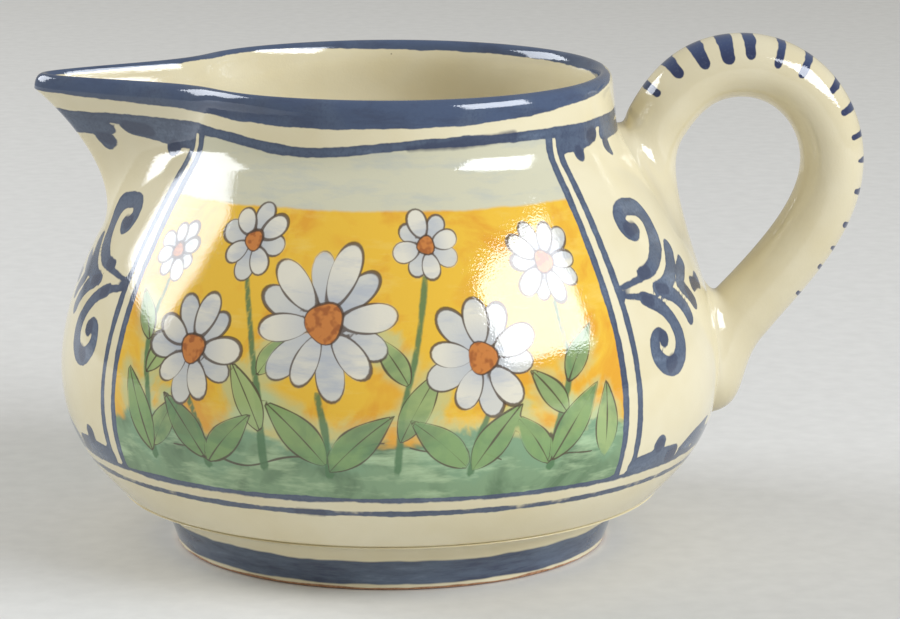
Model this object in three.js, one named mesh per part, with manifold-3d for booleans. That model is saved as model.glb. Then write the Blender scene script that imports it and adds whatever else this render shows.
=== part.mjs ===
// A small earthenware cream jug: a thrown bowl with a collar and a pulled spout, a foot ring luted under it
// and a pulled handle luted to its side. Millimetres, +Z up. The spout points to -X and the handle to +X.

import * as THREE from 'three';
import { mergeVertices } from 'three/addons/utils/BufferGeometryUtils.js';
import ManifoldModule from 'manifold-3d';

// Foot ring
const FOOT_RADIUS = 37.6; // outside of the standing edge
const FOOT_FLARE = 9.3; // from there out to the seam with the bowl
const FOOT_BAND_FLARE = 1.6; // from there out to the top of the upright band
const FOOT_BAND_HEIGHT = 5.5;
const FOOT_EDGE = 4.2; // width of the ring at the standing edge
const FOOT_EDGE_ROUND = 0.8;
const FOOT_COVE = 0.5; // how far the hollow above the band stays from the upright

// Bowl, on its outside
const RIM_HEIGHT = 82;
const COLLAR_RADIUS = 38;
const NECK_HEIGHT = 74.5; // where the line of the shoulder meets the collar
const NECK_BLEND = 3; // how far above and below that point the turn reaches
const SHOULDER_HEIGHT = 56; // where the belly's curve runs into the straight shoulder
const SHOULDER_FLARE = 0.59; // radius gained for each millimetre down the shoulder
const SHOULDER_LEAD = 2.5; // length of the curve's tangent at the shoulder
const BELLY_RADIUS = 57.1;
const BELLY_HEIGHT = 31;
const BELLY_RISE = 10.4; // length of the curve's tangent above the belly
const BELLY_DROP = 12.2; // length of the curve's tangent below the belly
const BASE_RADIUS = FOOT_RADIUS + FOOT_FLARE; // edge of the bowl's flat underside, at the seam
const BASE_HEIGHT = 10;
const BASE_LEAN = 0.89; // radius gained for each millimetre up from the seam
const BASE_LEAD = 3.15; // length of the curve's tangent at the seam

// Bowl, its wall
const WALL = 3.6;
const FLOOR = 4.5;
const FLOOR_BLEND = 2.5; // how far above the floor the rounding of its corner starts
const FLOOR_BLEND_WIDTH = 7.5; // how far in from the wall it ends
const LIP_RISE = 2.6; // height of the rounded lip above the straight collar

// Spout, pulled from the collar
const SPOUT_REACH = 60.6; // from the jug's axis to the tip
const SPOUT_ROOT_HEIGHT = 54; // where the keel under the spout leaves the shoulder
const SPOUT_ROOT_LEAD = 9;
const SPOUT_TIP_LEAD = 10;
const SPOUT_TIP_RISE = 0.88; // height gained for each millimetre outwards at the tip
const SPOUT_HALF_ANGLE = THREE.MathUtils.degToRad(34); // where the rim starts to swing out to the spout
const SPOUT_TIP_ROUND = THREE.MathUtils.degToRad(3);
const SPOUT_TAPER_OUTSIDE = 2.3; // how sharply the spout narrows towards its tip
const SPOUT_TAPER_INSIDE = 2.8;

// Handle, a roll of clay; its loop is measured on its centre line
const ROLL_THICKNESS = 10.7;
const ROLL_WIDTH = 11.6;
const HANDLE_RISE = 5.4; // outside of the loop above the rim
const HANDLE_STAND_OUT = 25.5; // outside of the loop beyond the belly
const HANDLE_TOP_OFFSET = 23; // top of the loop, outwards from the collar
const HANDLE_BEND_HEIGHT = 66.5; // height of the loop's outermost point
const UPPER_ROOT_DROP = 8.2; // below the neck
const UPPER_ROOT_HEIGHT = NECK_HEIGHT - UPPER_ROOT_DROP;
const UPPER_ROOT_ANGLE = THREE.MathUtils.degToRad(58);
const UPPER_ROOT_LEAD = 9;
const UPPER_ROOT_FLARE = 1.8;
const TOP_LEAD = 10.5;
const BEND_LEAD = 10;
const LOWER_ROOT_HEIGHT = 32;
const LOWER_ROOT_ANGLE = THREE.MathUtils.degToRad(52);
const LOWER_ROOT_LEAD = 14;
const LOWER_ROOT_FLARE = 2.6;
const FLARE_LENGTH = 15; // how far up the roll a root's flare reaches
const ROOT_DEPTH = 9; // how far the roll runs on under the bowl's surface before it is trimmed

// Slip joints
const SLIP_THICKNESS = 0.6;
const FOOT_SLIP_THICKNESS = 0.4;
const FOOT_SLIP_INSET = 0.7; // how far the slip stays back from the seam, which leaves a groove
const JOINT_GAP = 0.3;

// Facets
const TURN_STEPS = 60;
const SPOUT_CROWDING = 0.55; // spacing of the facets at the spout, as a share of the mean spacing
const CURVE_STEPS = 6;
const KEEL_STEPS = 24;
const SHOULDER_STEPS = 5;
const LIP_STEPS = 6;
const BLEND_STEPS = 3;
const ROLL_STEPS = 44;
const ROLL_SIDES = 16;
const WELD_DISTANCE = 1e-4;

const CIRCLE_LEAD = 4 / 3 * (Math.SQRT2 - 1); // tangent length of a Bezier quarter circle of radius 1

const wasm = await ManifoldModule();
wasm.setup();

const lipBase = RIM_HEIGHT - LIP_RISE;
const shoulderRadius = COLLAR_RADIUS + SHOULDER_FLARE * (NECK_HEIGHT - SHOULDER_HEIGHT);

const point = (radius, height) => new THREE.Vector2(radius, height);

// Joins curves end to end into one list of points, each curve cut into its own number of steps.
function traced(curvesAndSteps) {
  const points = [];
  for (const [curve, steps] of curvesAndSteps) {
    const next = curve.getPoints(steps);
    points.push(...(points.length ? next.slice(1) : next));
  }
  return points;
}

// The bowl's outside from the seam up to the foot of the lip.
function bowlOutside() {
  const belly = point(BELLY_RADIUS, BELLY_HEIGHT);
  const shoulder = point(shoulderRadius, SHOULDER_HEIGHT);
  const neckBelow = point(COLLAR_RADIUS + SHOULDER_FLARE * NECK_BLEND, NECK_HEIGHT - NECK_BLEND);
  const neckAbove = point(COLLAR_RADIUS, NECK_HEIGHT + NECK_BLEND);
  return traced([
    [new THREE.CubicBezierCurve(
      point(BASE_RADIUS, BASE_HEIGHT),
      point(BASE_RADIUS + BASE_LEAN * BASE_LEAD, BASE_HEIGHT + BASE_LEAD),
      point(BELLY_RADIUS, BELLY_HEIGHT - BELLY_DROP),
      belly), CURVE_STEPS],
    [new THREE.CubicBezierCurve(
      belly,
      point(BELLY_RADIUS, BELLY_HEIGHT + BELLY_RISE),
      point(shoulderRadius + SHOULDER_FLARE * SHOULDER_LEAD, SHOULDER_HEIGHT - SHOULDER_LEAD),
      shoulder), CURVE_STEPS],
    [new THREE.LineCurve(shoulder, neckBelow), SHOULDER_STEPS],
    [new THREE.QuadraticBezierCurve(neckBelow, point(COLLAR_RADIUS, NECK_HEIGHT), neckAbove), BLEND_STEPS],
    [new THREE.LineCurve(neckAbove, point(COLLAR_RADIUS, lipBase)), 1],
  ]);
}

// Moves each point of a rising outline along the outline's normal; positive is away from the axis.
function offset(outline, distance) {
  return outline.map((at, index) => {
    const before = outline[Math.max(index - 1, 0)];
    const after = outline[Math.min(index + 1, outline.length - 1)];
    const along = after.clone().sub(before).normalize();
    return point(at.x + along.y * distance, at.y - along.x * distance);
  });
}

// Radius of a rising outline at a height.
function radiusAt(outline, height) {
  const above = Math.max(outline.findIndex((at) => at.y >= height), 1);
  const low = outline[above - 1];
  const high = outline[above];
  return THREE.MathUtils.mapLinear(height, low.y, high.y, low.x, high.x);
}

const outside = bowlOutside();

// The keel is the line under the spout, in the jug's plane of symmetry.
function spoutKeel() {
  const rootRadius = radiusAt(outside, SPOUT_ROOT_HEIGHT);
  const rootAlong = point(-SHOULDER_FLARE, 1).setLength(SPOUT_ROOT_LEAD);
  const tipAlong = point(1, SPOUT_TIP_RISE).setLength(SPOUT_TIP_LEAD);
  const root = point(rootRadius, SPOUT_ROOT_HEIGHT);
  const tip = point(SPOUT_REACH, lipBase);
  return new THREE.CubicBezierCurve(root, root.clone().add(rootAlong), tip.clone().sub(tipAlong), tip)
    .getPoints(KEEL_STEPS);
}

const keel = spoutKeel();

// How far the clay is pulled outwards in the middle of the spout at a height.
function spoutPull(height) {
  if (height <= SPOUT_ROOT_HEIGHT) return 0;
  if (height >= lipBase) return SPOUT_REACH - COLLAR_RADIUS;
  return Math.max(radiusAt(keel, height) - radiusAt(outside, height), 0);
}

// Share of that pull at an angle away from the middle of the spout.
function spoutShare(angle, taper) {
  const rounded = Math.hypot(angle, SPOUT_TIP_ROUND) - SPOUT_TIP_ROUND;
  return Math.max(1 - rounded / SPOUT_HALF_ANGLE, 0) ** taper;
}

// Turns a profile about the Z axis, with the facets set closer together on the spout's side.
// A profile point's insideness, from 0 to 1, gives the taper of the spout there; null leaves the shape round.
function turned(profile, insideness = null) {
  const geometry = new THREE.LatheGeometry(profile, TURN_STEPS).rotateX(Math.PI / 2);
  const position = geometry.attributes.position;
  for (let index = 0; index < position.count; index++) {
    const height = position.getZ(index);
    const even = Math.atan2(position.getY(index), -position.getX(index));
    const angle = even * (SPOUT_CROWDING + (1 - SPOUT_CROWDING) * (even / Math.PI) ** 2);
    let radius = Math.hypot(position.getX(index), position.getY(index));
    if (insideness) {
      const share = insideness[index % profile.length];
      const taper = THREE.MathUtils.lerp(SPOUT_TAPER_OUTSIDE, SPOUT_TAPER_INSIDE, share);
      radius += radius > 0 ? spoutPull(height) * spoutShare(angle, taper) : 0;
    }
    position.setXYZ(index, -radius * Math.cos(angle), radius * Math.sin(angle), height);
  }
  return welded(geometry);
}

// Leaves a geometry with shared vertices and positions only, without the flat triangles at the axis.
function welded(geometry) {
  geometry.deleteAttribute('normal');
  geometry.deleteAttribute('uv');
  const merged = mergeVertices(geometry, WELD_DISTANCE);
  const corners = merged.index.array;
  const kept = [];
  for (let index = 0; index < corners.length; index += 3) {
    const triangle = corners.slice(index, index + 3);
    if (new Set(triangle).size === 3) kept.push(...triangle);
  }
  merged.setIndex(kept);
  return merged;
}

function solidOf(geometry) {
  const vertProperties = new Float32Array(geometry.attributes.position.array);
  const triVerts = new Uint32Array(geometry.index.array);
  return new wasm.Manifold(new wasm.Mesh({ numProp: 3, vertProperties, triVerts }));
}

function geometryOf(solid) {
  const mesh = solid.getMesh();
  const geometry = new THREE.BufferGeometry();
  geometry.setAttribute('position', new THREE.BufferAttribute(new Float32Array(mesh.vertProperties), 3));
  geometry.setIndex(new THREE.BufferAttribute(new Uint32Array(mesh.triVerts), 1));
  return geometry;
}

function named(name, geometry, color, roughness) {
  geometry.computeVertexNormals();
  const mesh = new THREE.Mesh(geometry, new THREE.MeshStandardMaterial({ color, roughness, metalness: 0 }));
  mesh.name = name;
  return mesh;
}

const CREAM_GLAZE = 0xeadfc0;
const BLUE_GLAZE = 0x55687f;
const RED_CLAY = 0xb9805c;
const GLAZE_ROUGHNESS = 0.12;
const CLAY_ROUGHNESS = 0.85;

// Bowl: flat underside, outside, rounded lip, inside and floor, turned and then pulled out to the spout.
function bowlGeometry() {
  const lipMiddle = COLLAR_RADIUS - WALL / 2;
  const lip = new THREE.EllipseCurve(lipMiddle, lipBase, WALL / 2, LIP_RISE, 0, Math.PI)
    .getPoints(LIP_STEPS).slice(1, -1);
  const floorTop = BASE_HEIGHT + FLOOR;
  const inside = offset(outside, -WALL).reverse().filter((at) => at.y > floorTop + FLOOR_BLEND);
  const corner = inside.pop();
  const floorCurve = new THREE.QuadraticBezierCurve(
    corner,
    point(corner.x - FLOOR_BLEND, floorTop),
    point(corner.x - FLOOR_BLEND_WIDTH, floorTop)).getPoints(BLEND_STEPS);
  const outer = [point(0, BASE_HEIGHT), ...outside];
  const inner = [...inside, ...floorCurve, point(0, floorTop)];
  const insideness = [
    ...outer.map(() => 0),
    ...lip.map((at, index) => (index + 1) / (lip.length + 1)),
    ...inner.map(() => 1),
  ];
  return turned([...outer, ...lip, ...inner], insideness);
}

// Foot ring: standing edge, upright band, cove out to the seam, flat top and straight bore.
function footRingGeometry() {
  const top = BASE_HEIGHT - FOOT_SLIP_THICKNESS;
  const bore = FOOT_RADIUS - FOOT_EDGE;
  const bandRadius = FOOT_RADIUS + FOOT_BAND_FLARE;
  const rounding = new THREE.QuadraticBezierCurve(
    point(FOOT_RADIUS - FOOT_EDGE_ROUND, 0),
    point(FOOT_RADIUS, 0),
    point(FOOT_RADIUS, FOOT_EDGE_ROUND));
  const cove = new THREE.QuadraticBezierCurve(
    point(bandRadius, FOOT_BAND_HEIGHT),
    point(bandRadius + FOOT_COVE, top - FOOT_COVE),
    point(BASE_RADIUS, top));
  const profile = [
    point(bore, 0),
    ...rounding.getPoints(BLEND_STEPS),
    ...cove.getPoints(CURVE_STEPS),
    point(bore, top),
    point(bore, 0),
  ];
  return turned(profile);
}

// Slip between the foot ring and the bowl: a flat washer, set back from the seam.
function footSlipGeometry() {
  const bottom = BASE_HEIGHT - FOOT_SLIP_THICKNESS;
  const bore = FOOT_RADIUS - FOOT_EDGE;
  const edge = BASE_RADIUS - FOOT_SLIP_INSET;
  return turned([
    point(bore, bottom),
    point(edge, bottom),
    point(edge, BASE_HEIGHT),
    point(bore, BASE_HEIGHT),
    point(bore, bottom),
  ]);
}

// The bowl's outside as a filled solid, grown by a distance; it trims what sits on the bowl.
function filledBowl(growth) {
  const grown = offset(outside, growth);
  const profile = [point(0, grown[0].y), ...grown, point(0, grown.at(-1).y)];
  return solidOf(turned(profile));
}

// Centre line of the handle in the XZ plane, from under the shoulder over the top to under the belly.
function handleCentreLine() {
  const upperAlong = point(Math.cos(UPPER_ROOT_ANGLE), Math.sin(UPPER_ROOT_ANGLE));
  const lowerAlong = point(-Math.cos(LOWER_ROOT_ANGLE), -Math.sin(LOWER_ROOT_ANGLE));
  const upperRoot = point(radiusAt(outside, UPPER_ROOT_HEIGHT), UPPER_ROOT_HEIGHT);
  const lowerRoot = point(radiusAt(outside, LOWER_ROOT_HEIGHT), LOWER_ROOT_HEIGHT);
  const top = point(COLLAR_RADIUS + HANDLE_TOP_OFFSET, RIM_HEIGHT + HANDLE_RISE - ROLL_THICKNESS / 2);
  const bend = point(BELLY_RADIUS + HANDLE_STAND_OUT - ROLL_THICKNESS / 2, HANDLE_BEND_HEIGHT);
  const bendAcross = (bend.x - top.x) * CIRCLE_LEAD;
  const bendDown = (top.y - bend.y) * CIRCLE_LEAD;
  const path = new THREE.CurvePath();
  path.add(new THREE.LineCurve(upperRoot.clone().addScaledVector(upperAlong, -ROOT_DEPTH), upperRoot));
  path.add(new THREE.CubicBezierCurve(
    upperRoot,
    upperRoot.clone().addScaledVector(upperAlong, UPPER_ROOT_LEAD),
    point(top.x - TOP_LEAD, top.y),
    top));
  path.add(new THREE.CubicBezierCurve(
    top,
    point(top.x + bendAcross, top.y),
    point(bend.x, bend.y + bendDown),
    bend));
  path.add(new THREE.CubicBezierCurve(
    bend,
    point(bend.x, bend.y - BEND_LEAD),
    lowerRoot.clone().addScaledVector(lowerAlong, -LOWER_ROOT_LEAD),
    lowerRoot));
  path.add(new THREE.LineCurve(lowerRoot, lowerRoot.clone().addScaledVector(lowerAlong, ROOT_DEPTH)));
  return path;
}

// Extra half width of the roll at a distance along it from a root's seat on the bowl.
function flareAt(distance, flare) {
  return flare * THREE.MathUtils.clamp(1 - distance / FLARE_LENGTH, 0, 1) ** 2;
}

// The roll as a row of oval rings, swelling towards both roots and rounded off at both hidden ends.
function rollRings() {
  const path = handleCentreLine();
  const length = path.getLength();
  const rings = [];
  for (let step = 0; step <= ROLL_STEPS; step++) {
    const share = step / ROLL_STEPS;
    const centre = path.getPointAt(share);
    const along = path.getTangentAt(share);
    const fromStart = share * length;
    const fromEnd = length - fromStart;
    const upperFlare = flareAt(fromStart - ROOT_DEPTH, UPPER_ROOT_FLARE);
    const lowerFlare = flareAt(fromEnd - ROOT_DEPTH, LOWER_ROOT_FLARE);
    const flare = upperFlare + lowerFlare;
    const inFromTip = Math.min(fromStart, fromEnd, ROOT_DEPTH) / ROOT_DEPTH;
    const tipRounding = Math.sqrt(1 - (1 - inFromTip) ** 2);
    rings.push({
      centre,
      across: point(along.y, -along.x),
      halfThickness: (ROLL_THICKNESS / 2 + flare) * tipRounding,
      halfWidth: (ROLL_WIDTH / 2 + flare) * tipRounding,
    });
  }
  return rings;
}

// A closed solid through a run of rings; a ring of no size closes the roll to a point.
function rollSolid(rings) {
  const vertices = [];
  const triangles = [];
  for (const ring of rings) {
    for (let side = 0; side < ROLL_SIDES; side++) {
      const turn = 2 * Math.PI * side / ROLL_SIDES;
      const out = ring.halfThickness * Math.cos(turn);
      const sideways = ring.halfWidth * Math.sin(turn);
      vertices.push(ring.centre.x + ring.across.x * out, sideways, ring.centre.y + ring.across.y * out);
    }
  }
  for (let row = 0; row < rings.length - 1; row++) {
    for (let side = 0; side < ROLL_SIDES; side++) {
      const next = (side + 1) % ROLL_SIDES;
      const a = row * ROLL_SIDES + side;
      const b = row * ROLL_SIDES + next;
      triangles.push(a, b, a + ROLL_SIDES, b, b + ROLL_SIDES, a + ROLL_SIDES);
    }
  }
  const lastRow = (rings.length - 1) * ROLL_SIDES;
  for (let side = 1; side < ROLL_SIDES - 1; side++) {
    triangles.push(0, side + 1, side);
    triangles.push(lastRow, lastRow + side, lastRow + side + 1);
  }
  const geometry = new THREE.BufferGeometry();
  geometry.setAttribute('position', new THREE.Float32BufferAttribute(vertices, 3));
  geometry.setIndex(triangles);
  return solidOf(welded(geometry));
}

const rings = rollRings();
const slipInside = filledBowl(JOINT_GAP);
const slipOutside = filledBowl(JOINT_GAP + SLIP_THICKNESS);
const handleSeat = filledBowl(2 * JOINT_GAP + SLIP_THICKNESS);

// Slip under one root: the layer between the bowl and the seat that the root is trimmed to.
function rootSlip(rootRings) {
  return geometryOf(rollSolid(rootRings).intersect(slipOutside).subtract(slipInside));
}

const middle = Math.round(rings.length / 2);
const handleGeometry = geometryOf(rollSolid(rings).subtract(handleSeat));

const jug = new THREE.Group();
jug.add(
  named('body', bowlGeometry(), CREAM_GLAZE, GLAZE_ROUGHNESS),
  named('foot_ring', footRingGeometry(), BLUE_GLAZE, GLAZE_ROUGHNESS),
  named('foot_slip', footSlipGeometry(), RED_CLAY, CLAY_ROUGHNESS),
  named('handle', handleGeometry, CREAM_GLAZE, GLAZE_ROUGHNESS),
  named('upper_handle_slip', rootSlip(rings.slice(0, middle)), RED_CLAY, CLAY_ROUGHNESS),
  named('lower_handle_slip', rootSlip(rings.slice(middle)), RED_CLAY, CLAY_ROUGHNESS),
);

// The origin is under the middle of the whole jug, on the surface it stands on.
const box = new THREE.Box3().setFromObject(jug, true);
jug.position.x = -(box.min.x + box.max.x) / 2;

export default jug;
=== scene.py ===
import math

import bmesh
import bpy
import numpy as np
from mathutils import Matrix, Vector


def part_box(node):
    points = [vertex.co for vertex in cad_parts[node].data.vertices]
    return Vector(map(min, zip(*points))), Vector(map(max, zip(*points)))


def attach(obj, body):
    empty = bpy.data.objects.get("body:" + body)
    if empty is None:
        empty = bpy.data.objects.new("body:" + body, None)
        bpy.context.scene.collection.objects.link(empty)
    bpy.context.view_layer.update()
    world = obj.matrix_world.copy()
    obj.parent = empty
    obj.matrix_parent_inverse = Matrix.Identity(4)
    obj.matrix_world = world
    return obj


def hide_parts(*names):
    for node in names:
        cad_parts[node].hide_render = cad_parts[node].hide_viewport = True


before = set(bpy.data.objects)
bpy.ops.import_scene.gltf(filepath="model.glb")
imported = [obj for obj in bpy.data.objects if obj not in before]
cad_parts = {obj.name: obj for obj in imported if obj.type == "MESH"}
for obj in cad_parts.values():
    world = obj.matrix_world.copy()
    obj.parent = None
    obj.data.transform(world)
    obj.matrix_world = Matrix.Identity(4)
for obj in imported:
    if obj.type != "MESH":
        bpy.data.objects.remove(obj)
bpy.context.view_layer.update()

# Bowl: thrown in red earthenware, with a slightly bowed shoulder, a short collar and a pulled spout.
# It is dipped in a cream tin glaze, painted by brush and fired once more, so the paint lies in the glaze.
# Sizes are in millimetres, and the jug's axis and heights come from the frame.
MM = 0.001
AXIS_X = (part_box("foot_ring")[0].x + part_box("foot_ring")[1].x) / 2 / MM
RIM_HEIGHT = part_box("body")[1].z / MM
BASE_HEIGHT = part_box("body")[0].z / MM
BASE_RADIUS = 46.9
BASE_LEAN = 0.89
BASE_LEAD = 3.15
BASE_EDGE_ROUND = 0.35
BELLY_RADIUS = 57.1
BELLY_HEIGHT = 31.0
BELLY_RISE = 10.95
BELLY_DROP = 12.2
SHOULDER_HEIGHT = 56.0
SHOULDER_FLARE = 0.636
SHOULDER_LEAD = 3.16
SHOULDER_BOW = 0.49
NECK_HEIGHT = 71.34
NECK_RADIUS = 39.31
NECK_BLEND = 1.8
COLLAR_RADIUS = 38.3
WALL = 3.6
FLOOR = 4.5
FLOOR_BLEND = 2.5
FLOOR_BLEND_WIDTH = 7.5
INNER_WALL_STRIDE = 4
LIP_RISE = 2.6
LIP_HALF_WIDTH = 1.5
LIP_BASE = RIM_HEIGHT - LIP_RISE
LIP_STEPS = 14
INNER_LEAN = 0.36
INNER_LEAN_FOOT = 71.0
INNER_LEAN_LEAD = 3.0
SPOUT_REACH = 60.6
SPOUT_ROOT_HEIGHT = 54.0
SPOUT_ROOT_LEAD = 9.0
SPOUT_TIP_LEAD = 10.0
SPOUT_TIP_RISE = 0.88
SPOUT_HALF_ANGLE = math.radians(34)
SPOUT_ROOT_SHARE = 0.25
SPOUT_TIP_ROUND = math.radians(3)
SPOUT_TAPER_OUTSIDE = 2.3
SPOUT_TAPER_INSIDE = 2.55
SPOUT_WINGS = 1.3
SPOUT_WINGS_ANGLE = math.radians(46)
SPOUT_WINGS_SPREAD = math.radians(16)
SPOUT_WINGS_DEPTH = 9.0
BOWL_TURN_STEPS = 528
MERGE_DISTANCE = 0.001


def bezier(points, steps):
    """Points along the Bezier curve of some control points."""
    share = np.linspace(0, 1, steps + 1)[:, None]
    rows = [np.array(point, float) for point in points]
    while len(rows) > 1:
        rows = [start + (end - start) * share for start, end in zip(rows, rows[1:])]
    return rows[0]


def joined(curves):
    """Curves set end to end, without the points where they meet twice."""
    return np.vstack([curves[0]] + [curve[1:] for curve in curves[1:]])


def offset(outline, distance):
    """An outline moved along its normal; positive is away from the axis on a rising outline."""
    along = np.gradient(outline, axis=0)
    along /= np.linalg.norm(along, axis=1)[:, None]
    return outline + distance * np.column_stack([along[:, 1], -along[:, 0]])


def lengths_along(points):
    """Length of a line of points, from its first point to each of them."""
    steps = np.linalg.norm(np.diff(points, axis=0), axis=1)
    return np.concatenate([[0], np.cumsum(steps)])


shoulder_radius = NECK_RADIUS + SHOULDER_FLARE * (NECK_HEIGHT - SHOULDER_HEIGHT)
shoulder = np.array([shoulder_radius, SHOULDER_HEIGHT])
neck_below = np.array([NECK_RADIUS + SHOULDER_FLARE * NECK_BLEND, NECK_HEIGHT - NECK_BLEND])
shoulder_out = np.array([1, SHOULDER_FLARE]) / math.hypot(1, SHOULDER_FLARE)
shoulder_bow = (shoulder + neck_below) / 2 + SHOULDER_BOW * shoulder_out
below_shoulder = shoulder - (shoulder_bow - shoulder) * SHOULDER_LEAD / (shoulder_bow - shoulder)[1]
neck = neck_below + (neck_below - shoulder_bow) * NECK_BLEND / (neck_below - shoulder_bow)[1]
collar_lean = (NECK_RADIUS - COLLAR_RADIUS) / (LIP_BASE - NECK_HEIGHT)
neck_above = neck + (-collar_lean * NECK_BLEND, NECK_BLEND)
belly = (BELLY_RADIUS, BELLY_HEIGHT)
outside = joined([
    bezier([(BASE_RADIUS, BASE_HEIGHT),
            (BASE_RADIUS + BASE_LEAN * BASE_LEAD, BASE_HEIGHT + BASE_LEAD),
            (BELLY_RADIUS, BELLY_HEIGHT - BELLY_DROP), belly], steps=30),
    bezier([belly, (BELLY_RADIUS, BELLY_HEIGHT + BELLY_RISE), below_shoulder, shoulder], steps=38),
    bezier([shoulder, shoulder_bow, neck_below], steps=26),
    bezier([neck_below, neck, neck_above], steps=8),
    bezier([neck_above, (COLLAR_RADIUS, LIP_BASE)], steps=11),
])

lip_turn = np.linspace(0, math.pi - INNER_LEAN * LIP_RISE / LIP_HALF_WIDTH, LIP_STEPS + 1)[1:]
lip = np.column_stack([
    COLLAR_RADIUS - LIP_HALF_WIDTH + LIP_HALF_WIDTH * np.cos(lip_turn),
    LIP_BASE + LIP_RISE * np.sin(lip_turn)])
floor_top = BASE_HEIGHT + FLOOR
inner_wall = offset(outside, -WALL)[::-1]
inner_wall = inner_wall[inner_wall[:, 1] < INNER_LEAN_FOOT]
inner_wall = inner_wall[inner_wall[:, 1] > floor_top + FLOOR_BLEND][::INNER_WALL_STRIDE]
inner_lean = bezier([
    lip[-1],
    lip[-1] - (INNER_LEAN * INNER_LEAN_LEAD, INNER_LEAN_LEAD),
    inner_wall[0] + (0, INNER_LEAN_LEAD), inner_wall[0]], steps=10)[1:-1]
floor_corner = inner_wall[-1]
floor_curve = bezier([
    floor_corner,
    (floor_corner[0] - FLOOR_BLEND, floor_top),
    (floor_corner[0] - FLOOR_BLEND_WIDTH, floor_top)], steps=5)[1:]
floor_flat = bezier([floor_curve[-1], (0, floor_top)], steps=6)[1:]
underside = bezier([(0, BASE_HEIGHT), (BASE_RADIUS - BASE_EDGE_ROUND, BASE_HEIGHT)], steps=6)
bowl_profile = np.vstack([underside, outside[1:], lip, inner_lean, inner_wall, floor_curve, floor_flat])
crest = int(np.argmax(bowl_profile[:, 1]))
bowl_run = lengths_along(bowl_profile)
bowl_run = bowl_run[crest] - bowl_run
LIP_HALF_RUN = bowl_run[len(underside) + len(outside) - 2]


def turned(profile, run, steps):
    """A profile turned once about the jug's axis. Each vertex keeps its profile's run as a layer."""
    shape = bmesh.new()
    run_layer = shape.verts.layers.float.new("run")
    chain = [shape.verts.new(((AXIS_X + radius) * MM, 0, height * MM)) for radius, height in profile]
    for vertex, length in zip(chain, run):
        vertex[run_layer] = length
    edges = [shape.edges.new(pair) for pair in zip(chain, chain[1:])]
    bmesh.ops.spin(
        shape, geom=chain + edges, cent=(AXIS_X * MM, 0, 0), axis=(0, 0, 1),
        angle=2 * math.pi, steps=steps, use_merge=True)
    bmesh.ops.remove_doubles(shape, verts=shape.verts, dist=MERGE_DISTANCE * MM)
    bmesh.ops.recalc_face_normals(shape, faces=shape.faces)
    return shape


def placed(name, shape):
    """A smooth mesh object at the origin, made from a bmesh."""
    mesh = bpy.data.meshes.new(name)
    shape.to_mesh(mesh)
    shape.free()
    mesh.shade_smooth()
    piece = bpy.data.objects.new(name, mesh)
    bpy.context.scene.collection.objects.link(piece)
    return piece


def read_floats(collection, name, width):
    """Values of a mesh collection, such as its vertices' places, as an array."""
    values = np.zeros(len(collection) * width, np.float32)
    collection.foreach_get(name, values)
    return values.reshape(-1, width).astype(float)


def write_field(mesh, name, values):
    """Keeps one number for each vertex as an attribute that a material can read."""
    layer = mesh.attributes.get(name) or mesh.attributes.new(name, "FLOAT", "POINT")
    layer.data.foreach_set("value", np.asarray(values, np.float32))


bowl = placed("painted_bowl", turned(bowl_profile, bowl_run, BOWL_TURN_STEPS))
bowl_place = read_floats(bowl.data.vertices, "co", 3) / MM
run = read_floats(bowl.data.attributes["run"].data, "value", 1)[:, 0]

# The spout is pulled out of the turned bowl: its keel leaves the shoulder and runs out to the tip.
# The thumb and finger that held the rim beside it left the inside leaning outwards there.
keel_root = np.array([np.interp(SPOUT_ROOT_HEIGHT, outside[:, 1], outside[:, 0]), SPOUT_ROOT_HEIGHT])
keel_tip = np.array([SPOUT_REACH, LIP_BASE])
root_along = np.array([-SHOULDER_FLARE, 1]) / math.hypot(SHOULDER_FLARE, 1) * SPOUT_ROOT_LEAD
tip_along = np.array([1, SPOUT_TIP_RISE]) / math.hypot(1, SPOUT_TIP_RISE) * SPOUT_TIP_LEAD
keel = bezier([keel_root, keel_root + root_along, keel_tip - tip_along, keel_tip], steps=120)
east = bowl_place[:, 0] - AXIS_X
north = bowl_place[:, 1]
height = bowl_place[:, 2]
radius = np.hypot(east, north)
from_spout = np.abs(np.arctan2(north, -east))
keel_pull = np.interp(height, keel[:, 1], keel[:, 0]) - np.interp(height, outside[:, 1], outside[:, 0])
keel_pull = np.where(height < SPOUT_ROOT_HEIGHT, 0, np.maximum(keel_pull, 0))
insideness = np.clip((LIP_HALF_RUN - run) / (2 * LIP_HALF_RUN), 0, 1)
towards_crest = np.minimum(2 * insideness, 1)
taper = SPOUT_TAPER_OUTSIDE + (SPOUT_TAPER_INSIDE - SPOUT_TAPER_OUTSIDE) * towards_crest
rounded = np.hypot(from_spout, SPOUT_TIP_ROUND) - SPOUT_TIP_ROUND
below_rim = np.clip((LIP_BASE - height) / (LIP_BASE - SPOUT_ROOT_HEIGHT), 0, 1)
half_angle = SPOUT_HALF_ANGLE * (1 - (1 - SPOUT_ROOT_SHARE) * below_rim * (1 - insideness))
spout_share = np.maximum(1 - rounded / half_angle, 0) ** taper
wings = np.exp(-((from_spout - SPOUT_WINGS_ANGLE) / SPOUT_WINGS_SPREAD) ** 2) * insideness
wings *= SPOUT_WINGS * np.clip(1 - (LIP_BASE - height) / SPOUT_WINGS_DEPTH, 0, 1) ** 2
stretch = 1 + (keel_pull * spout_share + wings) / np.maximum(radius, 1)
bowl_place[:, 0] = AXIS_X + east * stretch
bowl_place[:, 1] = north * stretch
bowl.data.vertices.foreach_set("co", (bowl_place * MM).astype(np.float32).ravel())
bowl.data.update()

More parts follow.
